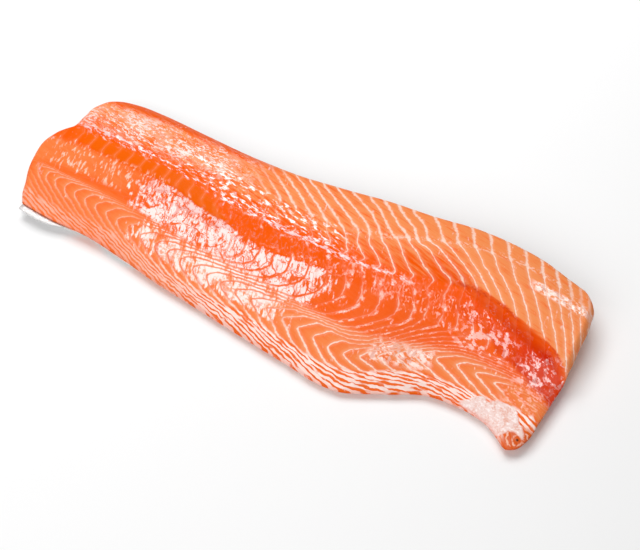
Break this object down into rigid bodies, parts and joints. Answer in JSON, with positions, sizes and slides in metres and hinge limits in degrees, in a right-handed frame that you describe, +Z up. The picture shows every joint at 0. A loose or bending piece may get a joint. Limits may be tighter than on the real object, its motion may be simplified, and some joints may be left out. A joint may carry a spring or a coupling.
{
  "type": "salmon fillet",
  "caption": "Long raw fish fillet lying skin down, orange flesh with pale bands and a groove along it, cut across at both ends, silvery scaled skin under it.",
  "frame": {"origin": "middle of the fillet's outline on the surface that its skin lies on", "axes": "+X along the fillet toward its head end, +Y toward the edge that was the back of the fish, +Z up out of the cut flesh"},
  "size_m": [0.4818, 0.1824, 0.0323],
  "materials": {
    "flesh": "wet satin",
    "skin": "wet satin, fine scales"
  },
  "bodies": {
    "root": {"flesh": "flesh", "skin": "skin"}
  },
  "joints": []
}
